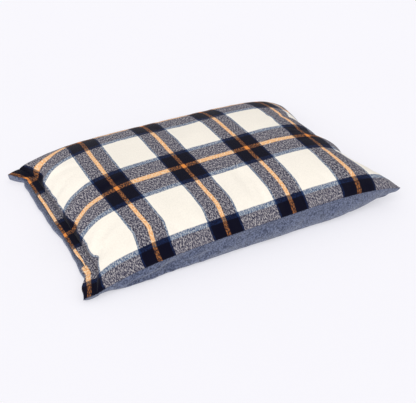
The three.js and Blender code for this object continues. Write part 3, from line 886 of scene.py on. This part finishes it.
def fill_bag(points, faces):
    """Runs the cloth and returns how far each point of the bag moved."""
    sheet = mesh_object("bag_to_fill", points, faces)
    used = np.unique(faces)
    slot_of = np.full(len(points), -1)
    slot_of[used] = np.arange(len(used))
    held = sheet.vertex_groups.new(name="held")
    still = (points[:, 2] < 0.004) | (points[:, 0] < ZIP_CREASE + 0.001)
    still[wall_number[0]] = True
    held.add([int(i) for i in slot_of[still] if i >= 0], 1.0, "REPLACE")
    modifier = sheet.modifiers.new("fill", "CLOTH")
    for key, value in CLOTH_SETTINGS.items():
        setattr(modifier.settings, key, value)
    modifier.settings.effector_weights.gravity = 0
    modifier.collision_settings.use_collision = False
    modifier.point_cache.frame_start, modifier.point_cache.frame_end = 1, FRAMES
    for number in range(1, FRAMES + 1):
        scene.frame_set(number)
    shown = sheet.evaluated_get(bpy.context.evaluated_depsgraph_get())
    after = np.empty(len(used) * 3)
    shown.data.vertices.foreach_get("co", after)
    moved = np.zeros_like(points)
    moved[used] = after.reshape(-1, 3) - points[used]
    scene.frame_set(1)
    bpy.data.objects.remove(sheet)
    return moved


moved = fill_bag(bag, np.concatenate([top_faces, under_faces]))
top_move = moved[top_number]
fine_move = top_move - blur_grid(top_move, 60)
calm_back = 1 - BACK_CALM * soft_step(0.16, 0.28, cover_rest[..., 1:2])
moved[top_number] = TOP_SHARE * fine_move * calm_back
size = np.linalg.norm(moved, axis=1, keepdims=True)
moved *= np.minimum(1, PUCKER_LIMIT / np.maximum(size, 1e-9))
bag_filled = bag + moved
bag_filled[:, 2] = np.maximum(bag_filled[:, 2], 0)
kept = np.linalg.norm(moved, axis=1).max()
print("puckers up to", round(float(size.max()), 4), "kept", round(float(kept), 4))

# %% [markdown]
# ## The two panels
# The filled bag is split at the seam into the plaid top and the fleece underside. Each is
# rounded once more and given the thickness of its cloth on the inner side. Every piece
# needs the same facts: its material, the body it rides on, and the frame's node that it
# stands for.

# %% The two panels
FABRIC = 0.0012


def finish_cloth(obj, thickness=FABRIC):
    """One smooth subdivision, then the cloth's thickness on its inner side."""
    smooth = obj.modifiers.new("round", "SUBSURF")
    smooth.levels = smooth.render_levels = 1
    smooth.boundary_smooth = "PRESERVE_CORNERS"
    thick = obj.modifiers.new("cloth thickness", "SOLIDIFY")
    thick.thickness, thick.offset = thickness, -1.0
    return obj


def stand_for(obj, node, material, body="cushion"):
    """Gives a piece its material and its body, and hides the frame's node it replaces."""
    obj.data.materials.append(material)
    if body:
        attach(obj, body)
    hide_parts(node)
    print(obj.name, len(obj.data.polygons), "faces")


cloth_of_bag = np.zeros((len(bag), 2))
cloth_of_bag[top_number] = cover_cloth
top_cover = finish_cloth(mesh_object("top_cover", bag_filled, top_faces, cloth_of_bag))
underside = finish_cloth(mesh_object("underside", bag_filled, under_faces))
for piece, node, material, slot in (
    (top_cover, "top_panel", plaid, "plaid"),
    (underside, "bottom_panel", marl, "blue_marl"),
):
    stand_for(piece, node, material)

# %% [markdown]
# ## The zip's flap
# Past the crease the top cloth is folded double and hides the zip. Its section is the path of
# the cloth's outer face, out over the top, round the fold and back below, and then the path
# of its inner face, the other way. So the strip was cut twice as wide as it looks. Slow waves
# run along it, because nothing stretches it. The flap bends at the crease when it's lifted;
# here it's a mesh of its own, and its check is the same cloth running on.

# %% Flap
FLAP_EDGE = -0.430
FLAP_LAYER = 0.0012  # half the folded flap: one layer of cloth
FLAP_GAP = 0.0001  # half the air between the two layers
FLAP_STEPS = 12
FLAP_WAVE = 0.0012


def flap_section():
    """A closed loop of (reach, height): the outer face and back along the inner one."""
    reach = np.linspace(0, 1, FLAP_STEPS + 1)
    fold = np.linspace(math.pi / 2, -math.pi / 2, 7)[1:-1]
    faces = []
    for height, bulge in ((FLAP_LAYER, 0.045), (FLAP_GAP, 0.006)):
        face = [(k, height) for k in reach]
        face += [(1 + math.cos(a) * bulge, height * math.sin(a)) for a in fold]
        face += [(k, -height) for k in reach[::-1]]
        faces.append(face)
    outer, inner = faces
    section = np.array(outer + inner[::-1])
    return section[:, :1], section[:, 1:]


def flap_piece():
    """Points (section, rows, 3) and flat cloth places (section, rows, 2) of the flap."""
    off_mouth = np.abs(np.abs(cover_rest[HEM_COLUMNS, :, 1]) - MOUTH)
    row = np.flatnonzero(in_mouth | (off_mouth < 0.001))
    x, y, z = cover_rest[HEM_COLUMNS, row].T
    reach, height = flap_section()
    wave = 0.55 * np.sin(y * 41 + 0.8) + 0.3 * np.sin(y * 88 + 2.1) + 0.15 * np.sin(y * 150)
    wave = wave * (1 - soft_step(0.20, MOUTH, np.abs(y)))
    width = x - FLAP_EDGE - 0.003 * drawn_in(y) + 0.011 * turned_out(y) + FLAP_WAVE * wave
    points = np.empty((len(reach), len(y), 3))
    points[..., 0] = x - reach * width
    points[..., 1] = y
    points[..., 2] = z - FLAP_LAYER - DROOP * reach**2 + 0.0013 * wave * reach**1.6 + height
    flat = np.empty((len(reach), len(y), 2))
    flat[..., 0] = HEM + thread_shift(y) - reach * hem_cloth(y)
    flat[..., 1] = cover_cloth[HEM_COLUMNS, row, 1]
    return points, flat


flap_points, flap_cloth = flap_piece()
flap_number = numbered(flap_points)
# the section runs round to its start, and both ends are closed between the two faces
flap_faces = grid_faces(np.vstack([flap_number, flap_number[:1]]))[:, ::-1].tolist()
for end, turned in ((0, False), (-1, True)):
    rim = flap_number[:, end]
    for k in range(len(rim) // 2 - 1):
        face = [rim[k], rim[k + 1], rim[-k - 2], rim[-k - 1]]
        flap_faces.append(face[::-1] if turned else face)
flap = mesh_object("flap", flap_points.reshape(-1, 3), flap_faces, flap_cloth.reshape(-1, 2))
stand_for(flap, "zip_flap", plaid, body=None)
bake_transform(flap)

# %% [markdown]
# ## Thread
# Every seam is sewn with a dark blue spun thread. A real stitch is a short raised loop that
# dips into the cloth at both ends, so a row is made of many small rounded capsules along a
# path, and not of one long tube. The thread's material is two shades of blue that twist
# round it.

# %% Thread
thread, tree, place = new_material(
    "sewing thread", 0.7, Specular_IOR_Level=0.3, Sheen_Weight=0.1
)
twist = add(
    tree, "ShaderNodeTexWave", {"Vector": place, "Scale": 420.0, "Distortion": 1.5},
    bands_direction="DIAGONAL",
)
fuzz = grainy(tree, place, 0.0006, 2.0)
ply = mix_value(tree, 0.4, twist.outputs[1], fuzz)
shade = ramp(tree, ply, [(0.0, srgb("10142c")), (1.0, srgb("2a3050"))])
surface(tree, shade, ply, 0.5, 0.0002)

STITCH, STITCH_GAP, THREAD_RADIUS = 0.0034, 0.0011, 0.00042
STITCH_RINGS, STITCH_SIDES = 6, 6
SEAM_ALLOWANCE = 0.0032  # how far inside the seam's edge the stitches run
FLAP_STITCHES = -0.4255


def tube_faces(number, flip=False):
    """Faces round a tube of point rings (rings, sides), with both ends closed."""
    faces = grid_faces(np.concatenate([number, number[:, :1]], axis=1)).tolist()
    faces += [number[0, ::-1].tolist(), number[-1].tolist()]
    return [face[::-1] for face in faces] if flip else faces


def stitch_row(name, path, body, node):
    """A row of small capsules along a path, riding on a body and standing for a CAD node."""
    travelled = lengths_along(path)
    starts = np.arange(STITCH_GAP, travelled[-1] - STITCH, STITCH + STITCH_GAP)
    t = np.linspace(0, 1, STITCH_RINGS)
    radius = THREAD_RADIUS * np.sin(np.pi * (0.08 + 0.84 * t)) ** 0.5
    turn = np.linspace(0, 2 * np.pi, STITCH_SIDES, endpoint=False)
    points, faces = [], []
    for begin in starts:
        at = begin + t * STITCH
        middle = np.stack([np.interp(at, travelled, path[:, k]) for k in range(3)], -1)
        ahead = middle[-1] - middle[0]
        ahead /= np.linalg.norm(ahead)
        side = np.cross(ahead, (0, 0, 1.0))
        side /= np.linalg.norm(side)
        up = np.cross(side, ahead)
        outward = side * np.cos(turn)[:, None] + up * np.sin(turn)[:, None]
        bow = np.sin(np.pi * t)[:, None, None] * up * THREAD_RADIUS * 0.6
        capsule = middle[:, None] + outward[None] * radius[:, None, None] + bow
        number = numbered(capsule) + len(points) * STITCH_RINGS * STITCH_SIDES
        points.append(capsule)
        faces += tube_faces(number, flip=True)
    row = link_mesh(name, np.concatenate(points).reshape(-1, 3), faces)
    stand_for(row, node, thread, body)


seam_path = bag_filled[wall_number[0]].copy()
seam_path[:, :2] -= ring_normals(seam_path) * SEAM_ALLOWANCE
past_hem = ring[:, 0] > HEM_COLUMNS + 1
for name, run in (
    ("front", np.flatnonzero((ring[:, 1] == 0) & past_hem)[:-1]),
    ("end", np.flatnonzero(ring[:, 0] == columns - 1)[1:-1]),
    ("back", np.flatnonzero((ring[:, 1] == rows - 1) & past_hem)[1:]),
):
    stitch_row(f"{name}_seam_stitches", seam_path[run], "cushion", f"{name}_seam_thread")
flap_line = np.abs(flap_points[: FLAP_STEPS + 1, :, 0].mean(1) - FLAP_STITCHES).argmin()
flap_path = flap_points[flap_line, 2:-2] + np.array([0, 0, 0.0002])
stitch_row("flap_stitches", flap_path, "flap", "flap_thread")

# %% [markdown]
# ## The zip
# Behind the rolled edge is a nylon coil zip. Its tapes are thin woven ribbon, flat sheets
# in the frame that only need cloth on them. The slider, its tab and the stops are the
# frame's own solids: a small bevel rounds their edges so that they catch light, and the
# metal is dull nickel with brighter worn edges.

# %% Zip tapes and metal
UPRIGHT = math.pi / 2  # turns a weave on to a standing ribbon
METAL_BEVEL = 0.00018
tape = plain_cloth(
    "zip tape", 0.85, thread=0.0006, slant=1.0, mask="Height", yarns=("0e1226", "2c3452"),
    dirt=("4a5270", 0.15, 0.02), relief=(0.5, 0.0002), turn=UPRIGHT, Specular_IOR_Level=0.2,
)

nylon, tree, place = new_material("coil nylon", 0.38, Specular_IOR_Level=0.5)
scuff = grainy(tree, place, 0.0008, 2.0)
shine = worn_edges(tree, place, 0.7)
shade = mix_color(tree, shine, srgb("161b33"), srgb("4d5674"))
shade = mix_color(tree, math_node(tree, "MULTIPLY", scuff, 0.2), shade, srgb("2d3552"))
surface(tree, shade, roughness=math_node(tree, "MULTIPLY_ADD", scuff, 0.2, 0.28))

nickel, tree, place = new_material("zip nickel", 0.35, Metallic=1.0)
stain = faded(tree, place, 0.004)
brushed = mapped(tree, place, scale=(1, 0.12, 1))
scratch = grainy(tree, brushed, 0.0004, 2.5)
bright = worn_edges(tree, place, 0.9)
shade = ramp(tree, stain, [(0.3, srgb("8d8e92")), (0.7, srgb("b4b5b6"))])
shade = mix_color(tree, bright, shade, srgb("dcdcda"))
dull = math_node(tree, "MULTIPLY_ADD", scratch, 0.25, 0.22)
surface(tree, shade, scratch, 0.15, 0.00005, roughness=dull)


def dress(node, material, bevel=0.0):
    """Gives a node of the frame a finish, and rounds its edges if it's hard."""
    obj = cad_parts[node]
    for place in obj.material_slots:
        place.material = material
    if bevel:
        edge = obj.modifiers.new("rounded edges", "BEVEL")
        edge.width, edge.segments, edge.limit_method = bevel, 2, "ANGLE"
        edge.angle_limit = math.radians(40)


for node in ("tape_upper", "tape_lower"):
    dress("zip_" + node, tape)
for node in ("slider", "pull_tab", "top_stop_upper", "top_stop_lower", "bottom_stop"):
    dress("zip_" + node, nickel, METAL_BEVEL)
print("zip dressed")

# %% [markdown]
# ## The zip's coils
# The teeth are two long coils of thick nylon line wound to an oval, so each is drawn as
# one tube that runs round and round inside the box of the frame's plain bar.

# %% Zip coils
COIL_PITCH, LINE_RADIUS = 0.0016, 0.00032
COIL_TURN_POINTS, LINE_SIDES = 12, 5


def coil_piece(name, node, lean):
    """One nylon coil: a tube round an oval that fills the CAD bar's box."""
    low, high = (np.array(c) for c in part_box(node))
    turns = (high[1] - low[1] - 2 * LINE_RADIUS) / COIL_PITCH
    a = np.linspace(0, 2 * np.pi * turns, int(turns * COIL_TURN_POINTS))
    middle = (low + high) / 2
    half = (high - low) / 2 - LINE_RADIUS
    squeeze = 0.25 * np.sin(a) * COIL_PITCH * lean
    off_axis = np.stack([half[0] * np.cos(a), np.zeros(len(a)), half[2] * np.sin(a)], -1)
    line = middle + off_axis
    line[:, 1] = low[1] + LINE_RADIUS + COIL_PITCH * a / (2 * np.pi) + squeeze
    ahead = np.gradient(line, axis=0)
    ahead /= np.linalg.norm(ahead, axis=1, keepdims=True)
    outward = off_axis / np.linalg.norm(off_axis, axis=1, keepdims=True)
    side = np.cross(ahead, outward)
    turn = np.linspace(0, 2 * np.pi, LINE_SIDES, endpoint=False)[None, :, None]
    tube = line[:, None] + LINE_RADIUS * (
        outward[:, None] * np.cos(turn) + side[:, None] * np.sin(turn)
    )
    coil = link_mesh(name, tube.reshape(-1, 3), tube_faces(numbered(tube)))
    stand_for(coil, node, nylon)


coil_piece("upper_teeth", "zip_coil_upper", 1)
coil_piece("lower_teeth", "zip_coil_lower", -1)

# %% [markdown]
# ## Care label
# A small satin ribbon hangs from the tape beside the zip, blank here. Satin is a weave of
# long floating threads, so it shines more than the cotton round it.

# %% Care label
RIBBON_THICKNESS = 0.00035
satin = plain_cloth(
    "satin ribbon", 0.42, thread=0.0003, slant=5.0, mask="Over", yarns=("e4e2dc", "f6f5f1"),
    dirt=("cfcabd", 0.2, 0.01), relief=(0.2, 0.0001), turn=UPRIGHT,
    Specular_IOR_Level=0.5, Sheen_Weight=0.2,
)
low, high = (np.array(c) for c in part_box("care_label"))
label_y, label_z = np.meshgrid(
    np.linspace(low[1], high[1], 25), np.linspace(low[2], high[2], 13), indexing="ij"
)
hang = (high[2] - label_z) / (high[2] - low[2])
wave = 0.0004 * np.sin((label_y - low[1]) * 260) + 0.0003
label_points = np.stack([(low[0] + high[0]) / 2 - wave * hang, label_y, label_z], -1)
label = mesh_object("care_ribbon", label_points.reshape(-1, 3), grid_faces(numbered(label_points)))
thick = label.modifiers.new("ribbon thickness", "SOLIDIFY")
thick.thickness, thick.offset = RIBBON_THICKNESS, 0
stand_for(label, "care_label", satin)

# %% [markdown]
# ## The inner cushion
# Inside the cover is a cushion of thin white lining filled with polyester fibre. It shows
# only when the zip is open, but it's what makes the bed full. Its two halves and the fibre
# are drawn like the cover, a little smaller, with crinkles that come from smooth noise, and
# each lies inside the next with a few millimetres between. Rays shot down at the cover find
# where it is lower than the formula says, and the cushion is kept below it there.

# %% Inner cushion
CASE_INSET, CASE_RIM, CASE_CLOTH = 0.018, 0.003, 0.0009
CASE_GAP, FIBRE_GAP = 0.0045, 0.0045  # cover to case, and case to fibre
CASE_COLUMNS, CASE_ROWS = 72, 50
CASE_FLOOR, CASE_DEPTH = 0.003, 0.125


def crinkle(points, size, depth, seed):
    """Smooth noise at each point, from -depth to depth."""
    offset = Vector((seed * 3.1, seed * 1.7, seed * 0.9))
    values = [noise.noise(Vector(p) + offset) for p in points.reshape(-1, 3) / size]
    return np.array(values).reshape(points.shape[:-1]) * depth


cover_tree = BVHTree.FromPolygons(bag_filled.tolist(), top_faces.tolist())


def fit_inside(points, end_x, gap):
    """Moves points in with the dents of the plain end, and keeps them below the cover."""
    near_end = 1 - soft_step(0, DENT_REACH, end_x - points[..., 0])
    for y, width, depth in END_DENTS:
        push = depth * hump(points[..., 1] - y, width) * near_end
        points[..., 0] -= push
        points[..., 2] -= SINK * push
    for point in points.reshape(-1, 3):
        hit = cover_tree.ray_cast(Vector((point[0], point[1], 0.3)), Vector((0, 0, -1)))[0]
        if hit is not None:
            point[2] = max(CASE_FLOOR, min(point[2], hit.z - gap))
    return points


def case_grid(side, depth):
    """One half of the inner cushion; side is 1 above its seam and -1 below."""
    s, t = (
        np.sin(np.linspace(-math.pi / 2, math.pi / 2, steps + 1))
        for steps in (CASE_COLUMNS, CASE_ROWS)
    )
    ss, tt = np.meshgrid(s, t, indexing="ij")
    x, y = plan(ss, tt)
    x = x - ss * (CASE_INSET + depth)
    y = y - tt * (CASE_INSET + depth)
    z = seam_height(ss, tt) - CASE_RIM * (1 - ss)
    edge = np.maximum(np.abs(ss), np.abs(tt))
    rim = max(0.0004, CASE_RIM - depth * 0.5) * (edge < 0.9999)
    if side > 0:
        full_t = np.where(tt < 0, dome(tt, 1.35, 0.42), dome(tt, 2, 0.44))
        z = z + rim + (CROWN - 0.012 - depth) * dome(ss, 3.5, 0.55) * full_t
    else:
        z = z - rim - CASE_DEPTH * dome(ss, 5, 0.5) * dome(tt, 5, 0.5)
        z = np.maximum(CASE_FLOOR + depth, z)
    points = np.stack([x, y, z], -1)
    rough = (1 - edge**12) * (1 if side > 0 else 0.4)
    points[..., 2] += crinkle(points, 0.030, 0.0016, 1 + side) * rough
    return fit_inside(points, plan(1.0, tt)[0], CASE_GAP + depth)


lining = plain_cloth(
    "white lining", 0.9, thread=0.0007, slant=1.0, mask="Height", yarns=("dcdad4", "f4f3ef"),
    dirt=("d9d3c4", 0.2, 0.06), relief=(0.3, 0.0003), Specular_IOR_Level=0.2, Sheen_Weight=0.15,
)

fluff, tree, place = new_material(
    "polyester fibre", 1.0, Specular_IOR_Level=0.1, Sheen_Weight=0.5
)
clump = faded(tree, place, 0.015)
combed = mapped(tree, place, scale=(1, 0.2, 0.6))
strand = grainy(tree, combed, 0.0008, 2.0)
shade = mix_color(tree, clump, srgb("e2e2e0"), srgb("fbfbfa"))
surface(tree, shade, mix_value(tree, 0.5, clump, strand), 0.8, 0.0020)

for side, half in ((1, "top"), (-1, "bottom")):
    grid = case_grid(side, 0.0)
    faces = grid_faces(numbered(grid))[:, ::side]
    case = mesh_object(f"inner_cushion_{half}", grid.reshape(-1, 3), faces)
    finish_cloth(case, CASE_CLOTH)
    stand_for(case, f"inner_case_{half}", lining)

above, below = case_grid(1, FIBRE_GAP), case_grid(-1, FIBRE_GAP)
above[..., 2] += crinkle(above, 0.016, 0.0012, 5)
number = numbered(above)
under = number + number.size
# the two halves of the fibre share the points at its edge
for edge in (np.s_[[0, -1]], np.s_[:, [0, -1]]):
    under[edge] = number[edge]
fibre_points = np.concatenate([above.reshape(-1, 3), below.reshape(-1, 3)])
fibre_faces = np.concatenate([grid_faces(number), grid_faces(under)[:, ::-1]])
fibre = mesh_object("fibre_filling", fibre_points, fibre_faces)
fibre.modifiers.new("round", "SUBSURF").levels = 1
stand_for(fibre, "fibre_fill", fluff)
